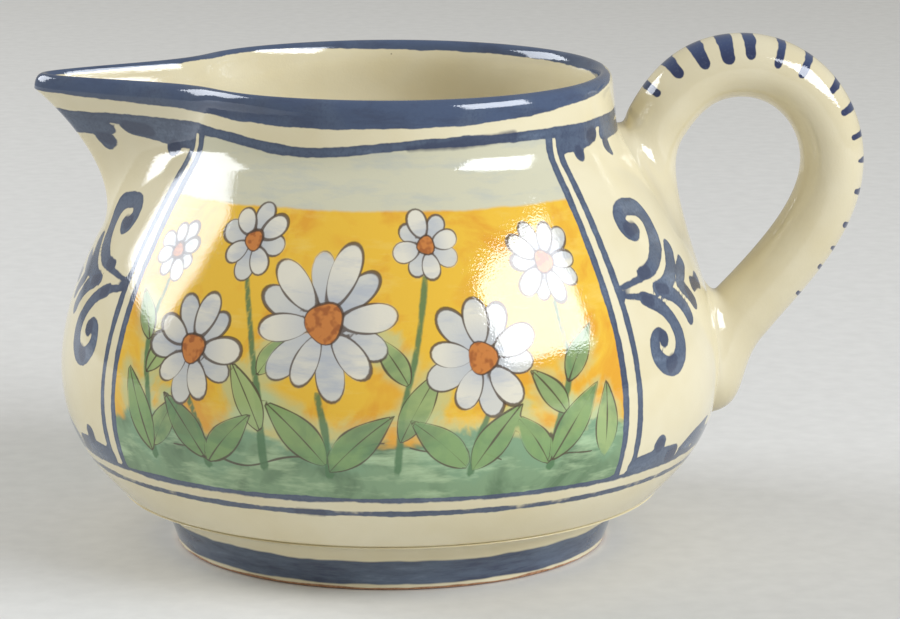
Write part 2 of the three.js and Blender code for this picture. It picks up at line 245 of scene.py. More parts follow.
# Painting on the outside: each side has a framed panel, with scrolls, leaf fans and lobes beside it.
# Places are the degrees from the middle of a panel and the height; both sides of the jug are painted alike.
PANEL_MIDDLE = -9.5
FRAME_INNER = 47.8
FRAME_OUTER = 51.2
FRAME_HALF_WIDTH = 0.7
RIM_LINE_HEIGHT = 75.3
RIM_LINE_DIP = 1.8
RIM_LINE_DIP_MIDDLE = -15
RIM_LINE_DIP_SPREAD = 20
RIM_LINE_HALF_WIDTH = 0.8
RIM_BAND_EDGE = 77.4
RIM_BAND_RISE = 2.3
RIM_BAND_MIDDLE = -10
RIM_BAND_SPREAD = 75
RIM_BAND_INSIDE = 2.3
RIM_BAND_INSIDE_SPOUT = 1.3
RIM_BAND_WIDENS = (60, 100)
FOOT_LINE_HEIGHTS = (19.9, 17.4)
FOOT_LINE_HALF_WIDTH = 0.5
DAB_SPACING = 0.3
STROKE_MARGIN = 5.0
NO_PAINT = 9.0

turn = np.degrees(np.arctan2(east, np.abs(north))) - PANEL_MIDDLE
aside = np.abs(turn)
mm_per_degree = np.radians(np.maximum(radius, 1))
on_outside = run > 0
from_dip = (turn - RIM_LINE_DIP_MIDDLE) / RIM_LINE_DIP_SPREAD
rim_line = RIM_LINE_HEIGHT - RIM_LINE_DIP * np.exp(-from_dip ** 2)
rim_band = RIM_BAND_EDGE + RIM_BAND_RISE * ((turn - RIM_BAND_MIDDLE) / RIM_BAND_SPREAD) ** 2
spout_turn = np.degrees(from_spout)
rim_inside = np.interp(spout_turn, RIM_BAND_WIDENS, (RIM_BAND_INSIDE_SPOUT, RIM_BAND_INSIDE))


def brush_stroke(points):
    """Dabs of a round brush along a smooth line: place in degrees, height and half width in mm."""
    points = np.array(points, float)
    if len(points) == 1:
        return points
    padded = np.vstack([2 * points[0] - points[1], points, 2 * points[-1] - points[-2]])
    dabs = [points[-1:]]
    for before, start, end, after in zip(padded, padded[1:], padded[2:], padded[3:]):
        share = np.arange(0, 1, DAB_SPACING / math.dist(start[:2], end[:2]))[:, None]
        bend = 2 * before - 5 * start + 4 * end - after
        swing = 3 * start - before - 3 * end + after
        dabs.append(start + 0.5 * share * (end - before + share * (bend + share * swing)))
    return np.vstack(dabs)


def painted(strokes, across):
    """Millimetres from each vertex to the edge of the nearest stroke, negative under the paint."""
    edge = np.full(len(across), NO_PAINT)
    for stroke in strokes:
        dabs = brush_stroke(stroke)
        low = dabs.min(axis=0) - STROKE_MARGIN
        high = dabs.max(axis=0) + STROKE_MARGIN
        near = on_outside & (across > low[0]) & (across < high[0]) & (height > low[1]) & (height < high[1])
        right = (across[near][:, None] - dabs[:, 0]) * mm_per_degree[near][:, None]
        up = height[near][:, None] - dabs[:, 1]
        away = (np.hypot(right, up) - dabs[:, 2]).min(axis=1)
        edge[near] = np.minimum(edge[near], away)
    return edge


UPPER_SCROLL = [
    (59.3, 51.9, 1.0), (63.0, 52.3, 1.2), (67.0, 53.9, 1.55), (69.9, 56.2, 1.9), (70.6, 58.9, 1.9),
    (69.2, 61.0, 1.7), (66.5, 61.8, 1.4), (63.0, 62.0, 1.3), (60.6, 60.8, 1.5), (60.8, 59.1, 1.7),
    (62.6, 58.2, 1.5), (64.6, 58.5, 0.9)]
LOWER_SCROLL = [
    (57.3, 48.4, 1.15), (60.0, 47.3, 1.25), (62.6, 45.6, 1.35), (64.6, 43.4, 1.5), (65.4, 40.9, 1.75),
    (64.4, 38.3, 1.75), (61.8, 36.8, 1.7), (58.9, 37.4, 1.6), (56.9, 39.5, 1.45), (57.3, 41.8, 1.2),
    (59.0, 42.6, 1.0), (60.0, 41.6, 1.4)]
SCROLL_STEMS = [
    [(51.7, 50.6, 0.4), (59.0, 51.4, 0.55)],
    [(51.7, 49.6, 0.45), (56.5, 48.7, 0.65)]]
LEAF_FAN = [
    [(62.5, 49.2, 1.1), (66.5, 49.5, 1.3), (70.5, 50.9, 1.6), (74.3, 54.0, 1.5)],
    [(64.0, 48.8, 1.2), (68.0, 47.2, 1.4), (70.4, 45.0, 1.5), (71.4, 43.4, 1.6)],
    [(71.4, 48.6, 0.9), (74.5, 49.9, 1.4), (77.8, 51.2, 1.1)],
    [(72.0, 47.9, 1.0), (74.4, 46.5, 1.4), (75.8, 44.9, 1.4)],
    [(78.8, 47.3, 1.35), (81.0, 47.1, 1.0), (83.3, 47.1, 1.6)]]
TOP_LOBES = [
    [(52.5, 73.0, 1.4), (59.5, 73.1, 1.5), (66.0, 73.8, 1.4)],
    [(58.1, 71.3, 1.5)],
    [(71.5, 73.6, 1.3), (79.5, 73.3, 1.4), (90.0, 72.9, 1.0)],
    [(72.5, 71.3, 1.3), (73.0, 70.2, 0.7)]]
BOTTOM_LOBES = [
    [(51.5, 21.4, 1.4), (57.5, 21.7, 1.6), (63.5, 21.2, 1.7)],
    [(58.0, 24.0, 1.7)],
    [(67.0, 20.8, 1.3), (70.5, 22.0, 1.5), (75.0, 23.3, 1.1), (78.6, 24.2, 0.6)],
    [(74.0, 21.0, 1.2), (80.0, 21.4, 1.3), (88.0, 20.5, 1.0)]]
DARK_DABS = [
    [(59.5, 51.9, 0.9), (61.8, 52.2, 1.0)],
    [(61.6, 58.7, 1.3), (64.0, 58.8, 1.0)],
    [(59.9, 41.7, 1.4)],
    [(57.6, 48.3, 0.9), (59.4, 47.6, 0.9)],
    [(60.4, 37.1, 1.4), (61.7, 37.6, 1.2)],
    [(63.2, 49.2, 0.9), (66.0, 48.6, 0.9)],
    [(74.2, 47.2, 0.9), (75.6, 45.2, 1.1)],
    [(79.0, 47.2, 1.0), (83.2, 47.1, 1.2)],
    [(58.1, 71.4, 1.2)],
    [(64.0, 73.6, 1.1), (66.2, 73.8, 1.1)],
    [(72.4, 71.4, 1.0)],
    [(58.0, 23.8, 1.4)],
    [(62.4, 21.3, 1.3), (64.0, 21.2, 1.3)]]
LINE_JOINS = [
    [(10.0, 74.4, 0.5), (22.0, 74.9, 0.8), (36.8, 75.6, 0.95)],
    [(-11.0, 17.4, 0.6), (-6.5, 17.3, 0.65)]]

above_line = height - rim_line
below_line = FOOT_LINE_HEIGHTS[0] - height
beside_frame = np.minimum(np.abs(aside - FRAME_INNER), np.abs(aside - FRAME_OUTER)) * mm_per_degree
frame_lines = np.maximum.reduce([beside_frame - FRAME_HALF_WIDTH, above_line, below_line])
rings = [np.abs(height - level) - FOOT_LINE_HALF_WIDTH for level in FOOT_LINE_HEIGHTS]
lines = np.minimum.reduce([frame_lines, np.abs(above_line) - RIM_LINE_HALF_WIDTH, *rings])
strokes = [UPPER_SCROLL, LOWER_SCROLL, *SCROLL_STEMS, *LEAF_FAN, *TOP_LOBES, *BOTTOM_LOBES]
panel = np.maximum.reduce([(aside - FRAME_INNER) * mm_per_degree, above_line, below_line])
blue_fields = {
    "blue": np.minimum(painted(strokes, aside), np.where(on_outside, lines, NO_PAINT)),
    "second_blue": np.minimum(painted(DARK_DABS, aside), painted(LINE_JOINS, turn)),
    "rim_paint": np.where(on_outside, rim_band - height, -rim_inside - run),
    "panel": np.where(on_outside, panel, NO_PAINT)}
for name, values in blue_fields.items():
    write_field(bowl.data, name, np.clip(values, -NO_PAINT, NO_PAINT))

# In the panel: a spray of white daisies with orange hearts on a yellow wash, over a green bank.
# A flower is its place, reach, petals and turn; a leaf is its foot, lean, length, half width and bend.
FLOWERS = [
    (-6.0, 48.5, 11.5, 12, 10), (21.0, 43.0, 9.2, 10, 25), (-30.0, 43.0, 8.6, 10, 5),
    (12.5, 60.0, 5.2, 8, 15), (-22.5, 60.0, 5.8, 8, 35), (36.0, 56.5, 6.4, 10, 0),
    (-40.0, 57.0, 4.6, 8, 20)]
FLOWER_STEMS = [
    [(-6.5, 37.5, 0.5), (-5.0, 31.0, 0.6), (-4.5, 24.5, 0.75)],
    [(21.5, 34.5, 0.45), (19.5, 29.5, 0.55), (18.5, 24.5, 0.7)],
    [(-29.5, 35.0, 0.45), (-27.0, 30.0, 0.55), (-26.0, 24.5, 0.7)],
    [(12.0, 55.5, 0.4), (10.0, 45.0, 0.45), (7.5, 35.0, 0.55), (6.5, 25.0, 0.65)],
    [(-22.0, 54.5, 0.4), (-19.0, 46.0, 0.45), (-16.5, 36.0, 0.55), (-15.5, 25.0, 0.65)],
    [(36.0, 50.5, 0.4), (36.5, 40.0, 0.5), (33.5, 31.0, 0.55), (32.5, 24.5, 0.65)],
    [(-39.5, 52.5, 0.4), (-40.5, 44.0, 0.45), (-38.5, 34.0, 0.55), (-37.5, 24.5, 0.65)]]
BACK_LEAVES = [
    (7.0, 30.0, 66, 13.5, 2.3, 0.10), (8.5, 39.0, 118, 9.5, 1.9, -0.12),
    (-16.0, 31.0, 112, 12.5, 2.2, -0.12), (-17.0, 40.0, 60, 8.5, 1.8, 0.12),
    (36.0, 38.0, 62, 10.5, 2.0, 0.12), (35.5, 33.0, 122, 10.0, 2.0, -0.12),
    (-39.5, 38.0, 60, 9.0, 1.9, 0.12), (-40.0, 43.0, 116, 9.0, 1.8, -0.10),
    (-37.6, 26.0, 64, 11.0, 2.2, 0.12), (43.5, 24.5, 92, 13.0, 2.3, 0.05)]
FRONT_LEAVES = [
    (-4.5, 25.0, 50, 14.0, 2.8, 0.14), (-5.0, 26.0, 128, 14.5, 2.8, -0.14),
    (18.8, 25.0, 58, 13.5, 2.6, 0.12), (18.0, 25.5, 132, 12.5, 2.6, -0.12),
    (-26.0, 25.0, 55, 12.0, 2.5, 0.14), (-26.5, 25.5, 122, 13.0, 2.6, -0.14),
    (32.8, 25.5, 60, 15.0, 2.6, 0.12), (32.3, 25.0, 118, 11.0, 2.3, -0.14),
    (-38.0, 25.0, 108, 15.0, 2.6, -0.10)]
HEART_SHARE = 0.27
HEART_BUMPS = 3
HEART_UNEVENNESS = 0.08
PETAL_MIDDLE = 0.6
PETAL_HALF_LENGTH = 0.4
PETAL_PLUMPNESS = 2.2
PETAL_FOOT_WIDTH = 0.75
PETAL_WIDENING = 0.45
PETAL_WIDTH_LIMITS = (0.4, 1.3)
PETAL_STRAY = 0.07
PETAL_STRAY_PACE = 2.3
PETAL_UNEVENNESS = 0.08
PETAL_UNEVEN_PACE = 3.7
LEAF_FULLNESS = 0.8
BANK_HEIGHT = 30.2
BANK_WAVES = [(1.1, 0.13, 0), (0.6, 0.31, 1)]
BANK_LINE_HEIGHT = 27.6
BANK_LINE_WAVES = [(1.9, 0.12, 0.8), (0.6, 0.41, 0)]


def seen_from(place, level):
    """Millimetres to the right of a place in the panel and above it, for each vertex."""
    return (turn - place) * mm_per_degree, height - level


def petals_of(flowers, first):
    """Distance to the edge of every second petal, from the first one on; no two of them are alike."""
    edge = np.full(len(turn), NO_PAINT)
    for place, level, reach, count, spin in flowers:
        right, up = seen_from(place, level)
        for number in range(first, count, 2):
            stray = PETAL_STRAY * math.sin(PETAL_STRAY_PACE * number + level)
            heading = math.radians(spin + 360 * number / count) + stray
            length = reach * (1 + PETAL_UNEVENNESS * math.sin(PETAL_UNEVEN_PACE * number + place))
            along = right * math.cos(heading) + up * math.sin(heading)
            aslant = up * math.cos(heading) - right * math.sin(heading)
            widening = np.clip(PETAL_FOOT_WIDTH + PETAL_WIDENING * along / length, *PETAL_WIDTH_LIMITS)
            half_width = PETAL_PLUMPNESS * length / count * widening
            egg = np.hypot((along / length - PETAL_MIDDLE) / PETAL_HALF_LENGTH, aslant / half_width)
            edge = np.minimum(edge, (egg - 1) * half_width)
    return edge


def leaves_of(leaves):
    """Distance to the edge of the nearest leaf, and to its rib with a sign for each side."""
    edge = np.full(len(turn), NO_PAINT)
    rib = np.full(len(turn), NO_PAINT)
    for place, level, lean, length, half_width, bend in leaves:
        right, up = seen_from(place, level)
        lean = math.radians(lean)
        along = (right * math.cos(lean) + up * math.sin(lean)) / length
        aslant = up * math.cos(lean) - right * math.sin(lean) + bend * length * along ** 2
        swell = np.sin(math.pi * np.clip(along, 0, 1) ** LEAF_FULLNESS)
        beyond = np.maximum(np.maximum(-along, along - 1), 0) * length
        away = np.abs(aslant) - half_width * swell + beyond
        rib = np.where(away < edge, aslant, rib)
        edge = np.minimum(edge, away)
    return edge, rib


def above_waves(level, waves):
    """Height above a line that waves across the panel; a wave is its rise, pace per degree and start."""
    above = height - level
    for rise, pace, start in waves:
        above = above - rise * np.sin(pace * turn + start)
    return above


petal_reach = np.full(len(turn), NO_PAINT)
hearts = np.full(len(turn), NO_PAINT)
for place, level, reach, count, spin in FLOWERS:
    right, up = seen_from(place, level)
    out = np.hypot(right, up)
    uneven = 1 + HEART_UNEVENNESS * np.cos(HEART_BUMPS * np.arctan2(up, right) + spin)
    petal_reach = np.minimum(petal_reach, out / reach)
    hearts = np.minimum(hearts, out - reach * HEART_SHARE * uneven)
back_leaves, back_ribs = leaves_of(BACK_LEAVES)
front_leaves, front_ribs = leaves_of(FRONT_LEAVES)
panel_fields = {
    "back_petals": petals_of(FLOWERS, 1), "front_petals": petals_of(FLOWERS, 0), "petal_reach": petal_reach,
    "hearts": hearts, "back_leaves": back_leaves, "back_ribs": back_ribs, "front_leaves": front_leaves,
    "front_ribs": front_ribs, "stems": painted(FLOWER_STEMS, turn),
    "bank": above_waves(BANK_HEIGHT, BANK_WAVES),
    "bank_lines": above_waves(BANK_LINE_HEIGHT, BANK_LINE_WAVES)}
for name, values in panel_fields.items():
    write_field(bowl.data, name, np.clip(values, -NO_PAINT, NO_PAINT))


def linear(hex_colour):
    """A colour written as sRGB hex, in the linear values that materials take."""
    parts = [int(hex_colour[start:start + 2], 16) / 255 for start in (1, 3, 5)]
    return [part / 12.92 if part <= 0.04045 else ((part + 0.055) / 1.055) ** 2.4 for part in parts] + [1.0]


def pattern_scale(size):
    """Scale of a texture whose features are this many millimetres apart."""
    return 1 / (size * MM)


def add(tree, kind, inputs=None, **settings):
    """Adds a node with its settings, and returns its outputs by identifier.
    Inputs maps a socket's identifier to a value or to a socket to link."""
    made = tree.nodes.new("ShaderNode" + kind)
    for name, value in settings.items():
        setattr(made, name, value)
    sockets = {socket.identifier: socket for socket in made.inputs}
    for name, value in (inputs or {}).items():
        if isinstance(value, bpy.types.NodeSocket):
            tree.links.new(value, sockets[name])
        else:
            sockets[name].default_value = value
    return {socket.identifier: socket for socket in made.outputs}


def new_material(name):
    """A material whose tree is still empty."""
    material = bpy.data.materials.new(name)
    material.use_nodes = True
    material.node_tree.nodes.clear()
    return material


def mottled(tree, colour, tone, pattern, low, high, most):
    """Mixes a second tone into a colour, from none where a pattern is low to the most where it is high."""
    amount = add(tree, "MapRange", {
        "Value": pattern, "From Min": low, "From Max": high, "To Max": most})["Result"]
    return add(tree, "Mix", {
        "Factor_Float": amount, "A_Color": colour, "B_Color": tone}, data_type="RGBA")["Result_Color"]


def coat(tree, under, colour, edge, wobble, softness=0.12, cover=1.0):
    """Lays a colour over another where a field is negative; the wobble makes the edge uneven."""
    shifted = add(tree, "Math", {"Value": edge, "Value_001": wobble}, operation="ADD")["Value"]
    amount = add(tree, "MapRange", {
        "Value": shifted, "From Min": softness, "From Max": -softness, "To Min": 0.0, "To Max": cover,
    }, interpolation_type="SMOOTHSTEP")["Result"]
    return add(tree, "Mix", {
        "Factor_Float": amount, "A_Color": under, "B_Color": colour}, data_type="RGBA")["Result_Color"]


def ink(tree, under, line, within, wobble, half_width):
    """Draws a fine brown line along a field's zero, inside another field, thick and thin like a pen's."""
    distance = add(tree, "Math", {"Value": line}, operation="ABSOLUTE")["Value"]
    stroke = add(tree, "Math", {"Value": distance, "Value_001": half_width}, operation="SUBTRACT")["Value"]
    inside = add(tree, "Math", {"Value": stroke, "Value_001": within}, operation="MAXIMUM")["Value"]
    return coat(tree, under, linear(INK_BROWN), inside, wobble, softness=0.09, cover=0.85)


# Cream tin glaze: a glossy, slightly uneven opaque glass over red clay, with a few iron specks.
# It gives a warm white with soft clouds of tone, and sharp reflections with edges broken by a fine grain.
CREAM = "#ece3c4"
CREAM_DEEP = "#e4d8b2"
SPECK = "#6b5a46"
GLAZE_ROUGHNESS = 0.05
GLAZE_IOR = 1.6
GLAZE_GLOSS = 0.65
CLOUD_SIZE = 14.0
SPECK_SPACING = 4.0
SPECK_RADIUS = 0.18
SPECKLESS_SHARE = 0.7
RIPPLE_SIZE = 9.0
RIPPLE_DEPTH = 0.04
PEEL_SIZE = 0.38
PEEL_DEPTH = 0.015


def cream_glaze(tree, place, tone=CREAM, deep_tone=CREAM_DEEP):
    """Colour of the bare glaze: clouds of two tones, and specks in some of the pattern's cells."""
    cloud = add(tree, "TexNoise", {
        "Vector": place, "Scale": pattern_scale(CLOUD_SIZE), "Detail": 3.0})["Fac"]
    cream = mottled(tree, linear(tone), linear(deep_tone), cloud, 0.3, 0.7, 1.0)
    cell = add(tree, "TexVoronoi", {"Vector": place, "Scale": pattern_scale(SPECK_SPACING)})
    chance = add(tree, "SeparateColor", {"Color": cell["Color"]})["Red"]
    size = add(tree, "MapRange", {
        "Value": chance, "From Min": SPECKLESS_SHARE, "From Max": 1.0,
        "To Min": 0.0, "To Max": SPECK_RADIUS / SPECK_SPACING})["Result"]
    speck = add(tree, "Math", {
        "Value": cell["Distance"], "Value_001": size}, operation="LESS_THAN")["Value"]
    return mottled(tree, cream, linear(SPECK), speck, 0.0, 1.0, 0.6)


def glazed(tree, place, colour):
    """Glossy glaze of a colour, with ripples and orange peel, linked to the material's output."""
    ripple = add(tree, "TexNoise", {
        "Vector": place, "Scale": pattern_scale(RIPPLE_SIZE), "Detail": 1.0})["Fac"]
    wavy = add(tree, "Bump", {"Height": ripple, "Distance": RIPPLE_DEPTH * MM})["Normal"]
    peel = add(tree, "TexNoise", {
        "Vector": place, "Scale": pattern_scale(PEEL_SIZE), "Detail": 1.0})["Fac"]
    peeled = add(tree, "Bump", {"Height": peel, "Distance": PEEL_DEPTH * MM, "Normal": wavy})["Normal"]
    shader = add(tree, "BsdfPrincipled", {
        "Base Color": colour, "Roughness": GLAZE_ROUGHNESS, "IOR": GLAZE_IOR,
        "Specular IOR Level": GLAZE_GLOSS, "Normal": peeled})["BSDF"]
    add(tree, "OutputMaterial", {"Surface": shader})


# Painted tin glaze: cobalt blue brushed on thin, so it pools and streaks, and inside the panel washes of
# yellow, green and white, drawn over with a fine brown line. All of it lies under the same gloss.
# The pigment's grain is drawn coarse enough to show.
COBALT = "#56657c"
COBALT_THIN = "#738399"
COBALT_DARK = "#333d58"
COBALT_RIM = "#445574"
YELLOW = "#f0c03a"
YELLOW_DEEP = "#e6a32d"
YELLOW_THIN = "#f2ce62"
SKY = "#d3d0b6"
SKY_BLUE = "#b4bbba"
BANK_GREEN = "#7aa17e"
BANK_DARK = "#4d7a5b"
BANK_THIN = "#b2d0a6"
STEM_GREEN = "#4f7a4e"
LEAF_GREEN = "#84a565"
LEAF_PALE = "#a3b978"
LEAF_DARK = "#4f7a55"
PETAL_WHITE = "#e6e1d0"
PETAL_BEHIND = "#d5d4cb"
PETAL_SHADE = "#a9b2c2"
HEART_ORANGE = "#cc7f3c"
HEART_DARK = "#9c5526"
INK_BROWN = "#4b392c"
SKY_EDGE = 65.0
DRIFT_SIZE = 7.0
DRIFT_REACH = 0.34
JITTER_SIZE = 1.3
JITTER_REACH = 0.14
PIGMENT_GRAIN = 0.5
WASH_SIZE = 11.0
WASH_REACH = 2.2
STREAK_SIZE = 12.0
STREAK_FLATNESS = 4.0
LEAF_HAZE = 1.2
RIB_LINE = 0.12
LEAF_LINE = 0.15
PETAL_LINE = 0.16

painted_glaze = new_material("painted_tin_glaze")
tree = painted_glaze.node_tree
place = add(tree, "TexCoord")["Object"]
level = add(tree, "SeparateXYZ", {"Vector": place})["Z"]
paint = {
    name: add(tree, "Attribute", attribute_name=name)["Fac"] for name in (*blue_fields, *panel_fields)}
drift = add(tree, "TexNoise", {"Vector": place, "Scale": pattern_scale(DRIFT_SIZE), "Detail": 1.0})["Fac"]
jitter = add(tree, "TexNoise", {"Vector": place, "Scale": pattern_scale(JITTER_SIZE), "Detail": 1.0})["Fac"]
grain = add(tree, "TexNoise", {
    "Vector": place, "Scale": pattern_scale(PIGMENT_GRAIN), "Detail": 2.0})["Fac"]
wash_noise = add(tree, "TexNoise", {
    "Vector": place, "Scale": pattern_scale(WASH_SIZE), "Detail": 4.0, "Roughness": 0.6, "Distortion": 0.6,
})["Fac"]
streaks_place = add(tree, "Mapping", {"Vector": place, "Scale": (1.0, 1.0, STREAK_FLATNESS)})["Vector"]
streak = add(tree, "TexNoise", {
    "Vector": streaks_place, "Scale": pattern_scale(STREAK_SIZE), "Detail": 4.0, "Roughness": 0.65})["Fac"]
wide_drift = add(tree, "MapRange", {
    "Value": drift, "To Min": -DRIFT_REACH, "To Max": DRIFT_REACH})["Result"]
fine_jitter = add(tree, "MapRange", {
    "Value": jitter, "To Min": -JITTER_REACH, "To Max": JITTER_REACH})["Result"]
hand = add(tree, "Math", {"Value": wide_drift, "Value_001": fine_jitter}, operation="ADD")["Value"]
pen = add(tree, "MapRange", {
    "Value": drift, "From Min": 0.3, "From Max": 0.7, "To Min": -0.08, "To Max": 0.16})["Result"]
loose = add(tree, "MapRange", {
    "Value": wash_noise, "From Min": 0.3, "From Max": 0.7, "To Min": -WASH_REACH, "To Max": WASH_REACH,
})["Result"]
lifted = add(tree, "MapRange", {
    "Value": drift, "From Min": 0.46, "From Max": 0.54, "To Min": -1.0, "To Max": 1.0})["Result"]

sky = mottled(tree, linear(SKY), linear(SKY_BLUE), streak, 0.5, 0.75, 0.7)
below_sky = add(tree, "Math", {
    "Value": level, "Value_001": 1 / MM, "Value_002": -SKY_EDGE}, operation="MULTIPLY_ADD")["Value"]
yellow = mottled(tree, linear(YELLOW), linear(YELLOW_DEEP), wash_noise, 0.48, 0.62, 0.85)
yellow = mottled(tree, yellow, linear(YELLOW_THIN), streak, 0.55, 0.72, 0.7)
scenery = coat(tree, sky, yellow, below_sky, hand, softness=0.3)

for leaves in ("back_leaves", "front_leaves"):
    haze = add(tree, "Math", {
        "Value": paint[leaves], "Value_001": LEAF_HAZE}, operation="SUBTRACT")["Value"]
    scenery = coat(tree, scenery, linear(BANK_THIN), haze, loose, softness=1.4, cover=0.55)
green = mottled(tree, linear(BANK_GREEN), linear(BANK_DARK), wash_noise, 0.46, 0.62, 0.9)
green = mottled(tree, green, linear(BANK_THIN), streak, 0.5, 0.68, 0.85)
scenery = coat(tree, scenery, green, paint["bank"], loose, softness=0.8, cover=0.95)
scenery = ink(tree, scenery, paint["bank_lines"], lifted, pen, LEAF_LINE)
scenery = coat(tree, scenery, linear(STEM_GREEN), paint["stems"], hand, softness=0.2, cover=0.9)
for layer, tone in (("back", LEAF_PALE), ("front", LEAF_GREEN)):
    leaf = mottled(tree, linear(tone), linear(LEAF_DARK), wash_noise, 0.42, 0.66, 0.75)
    scenery = coat(tree, scenery, leaf, paint[layer + "_leaves"], hand, softness=0.3, cover=0.92)
    scenery = ink(tree, scenery, paint[layer + "_leaves"], -NO_PAINT, pen, LEAF_LINE)
    scenery = ink(tree, scenery, paint[layer + "_ribs"], paint[layer + "_leaves"], pen, RIB_LINE)
for layer, tone in (("back", PETAL_BEHIND), ("front", PETAL_WHITE)):
    petal = mottled(tree, linear(tone), linear(PETAL_SHADE), paint["petal_reach"], 0.75, 0.3, 0.5)
    petal = mottled(tree, petal, linear(PETAL_SHADE), streak, 0.5, 0.68, 0.55)
    scenery = coat(tree, scenery, petal, paint[layer + "_petals"], fine_jitter, softness=0.2)
    scenery = ink(tree, scenery, paint[layer + "_petals"], -NO_PAINT, pen, PETAL_LINE)
heart = mottled(tree, linear(HEART_ORANGE), linear(HEART_DARK), jitter, 0.48, 0.62, 0.8)
scenery = coat(tree, scenery, heart, paint["hearts"], fine_jitter)
scenery = ink(tree, scenery, paint["hearts"], -NO_PAINT, pen, PETAL_LINE)

colour = cream_glaze(tree, place)
colour = coat(tree, colour, scenery, paint["panel"], 0.0, softness=0.15)
cobalt = mottled(tree, linear(COBALT), linear(COBALT_THIN), streak, 0.5, 0.72, 0.8)
cobalt = mottled(tree, cobalt, linear(COBALT_DARK), wash_noise, 0.5, 0.72, 0.6)
cobalt = mottled(tree, cobalt, linear(COBALT_DARK), grain, 0.45, 0.75, 0.45)
rim_cobalt = mottled(tree, cobalt, linear(COBALT_RIM), drift, 0.2, 0.5, 0.8)
rim_cobalt = mottled(tree, rim_cobalt, linear(COBALT_DARK), streak, 0.48, 0.62, 0.5)
cobalt = mottled(tree, cobalt, linear(COBALT_DARK), paint["blue"], -0.6, -0.1, 0.35)
colour = coat(tree, colour, cobalt, paint["blue"], hand)
colour = coat(tree, colour, rim_cobalt, paint["rim_paint"], hand)
colour = coat(tree, colour, linear(COBALT_DARK), paint["second_blue"], hand, softness=0.3, cover=0.7)
glazed(tree, place, colour)
bowl.data.materials.append(painted_glaze)
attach(bowl, "root")
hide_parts("body")

# Foot ring: turned in red earthenware and luted under the bowl with slip, with a fine groove at the seam.
# It is glazed like the bowl, with a brushed blue band; its standing edge is wiped clean to the bare clay.
FOOT_RADIUS = 37.6
FOOT_BAND_FLARE = 1.6
FOOT_BAND_HEIGHT = 5.5
FOOT_EDGE = 4.2
FOOT_EDGE_ROUND = 0.8
FOOT_COVE = 0.5
FOOT_BORE_DRAFT = 0.8
SEAM_DEPTH = 0.4
SEAM_HALF_HEIGHT = 0.2
FOOT_TURN_STEPS = 360

foot_bore = FOOT_RADIUS - FOOT_EDGE
band_radius = FOOT_RADIUS + FOOT_BAND_FLARE
cove_top = BASE_HEIGHT - SEAM_HALF_HEIGHT
foot_profile = joined([
    bezier([(foot_bore - FOOT_BORE_DRAFT, BASE_HEIGHT), (foot_bore, FOOT_EDGE_ROUND)], steps=8),
    bezier([(foot_bore, FOOT_EDGE_ROUND), (foot_bore, 0), (foot_bore + FOOT_EDGE_ROUND, 0)], steps=6),
    bezier([(foot_bore + FOOT_EDGE_ROUND, 0), (FOOT_RADIUS - FOOT_EDGE_ROUND, 0)], steps=4),
    bezier([(FOOT_RADIUS - FOOT_EDGE_ROUND, 0), (FOOT_RADIUS, 0),
            (FOOT_RADIUS, FOOT_EDGE_ROUND)], steps=6),
    bezier([(FOOT_RADIUS, FOOT_EDGE_ROUND), (band_radius, FOOT_BAND_HEIGHT)], steps=12),
    bezier([(band_radius, FOOT_BAND_HEIGHT), (band_radius + FOOT_COVE, BASE_HEIGHT - 2 * FOOT_COVE),
            (BASE_RADIUS, cove_top)], steps=24),
    bezier([(BASE_RADIUS, cove_top), (BASE_RADIUS - SEAM_DEPTH, BASE_HEIGHT)], steps=3),
    bezier([(BASE_RADIUS - SEAM_DEPTH, BASE_HEIGHT), (foot_bore - FOOT_BORE_DRAFT, BASE_HEIGHT)], steps=3),
])
foot = placed("banded_foot_ring", turned(foot_profile, lengths_along(foot_profile), FOOT_TURN_STEPS))

# Foot glaze: the bowl's cream glaze with a streaky band of cobalt. At the standing edge the bare red clay
# shows as a thin warm line of uneven tone; its grit is drawn coarse enough to show.
BARE_CLAY = "#b98a66"
BARE_CLAY_DARK = "#93623f"
BARE_EDGE = 0.55
BAND_BOTTOM = 1.1
BAND_TOP = 5.4
BAND_MIDDLE = (BAND_BOTTOM + BAND_TOP) / 2
BAND_HALF_HEIGHT = (BAND_TOP - BAND_BOTTOM) / 2
BAND_DRIFT_SIZE = 8.0
BAND_DRIFT_REACH = 0.6
BAND_STREAK_SIZE = 11.0
BAND_STREAK_FLATNESS = 6.0
CLAY_GRIT = 0.7

foot_glaze = new_material("banded_tin_glaze_and_bare_earthenware")
tree = foot_glaze.node_tree
place = add(tree, "TexCoord")["Object"]
level = add(tree, "SeparateXYZ", {"Vector": place})["Z"]
drift = add(tree, "TexNoise", {
    "Vector": place, "Scale": pattern_scale(BAND_DRIFT_SIZE), "Detail": 2.0})["Fac"]
hand = add(tree, "MapRange", {
    "Value": drift, "To Min": -BAND_DRIFT_REACH, "To Max": BAND_DRIFT_REACH})["Result"]
streaks_place = add(tree, "Mapping", {"Vector": place, "Scale": (1.0, 1.0, BAND_STREAK_FLATNESS)})["Vector"]
streak = add(tree, "TexNoise", {
    "Vector": streaks_place, "Scale": pattern_scale(BAND_STREAK_SIZE), "Detail": 4.0, "Roughness": 0.65,
})["Fac"]
cobalt = mottled(tree, linear(COBALT), linear(COBALT_DARK), streak, 0.45, 0.65, 0.8)
cobalt = mottled(tree, cobalt, linear(COBALT_THIN), streak, 0.42, 0.3, 0.6)
above_band = add(tree, "Math", {
    "Value": level, "Value_001": 1 / MM, "Value_002": -BAND_MIDDLE}, operation="MULTIPLY_ADD")["Value"]
from_band = add(tree, "Math", {"Value": above_band}, operation="ABSOLUTE")["Value"]
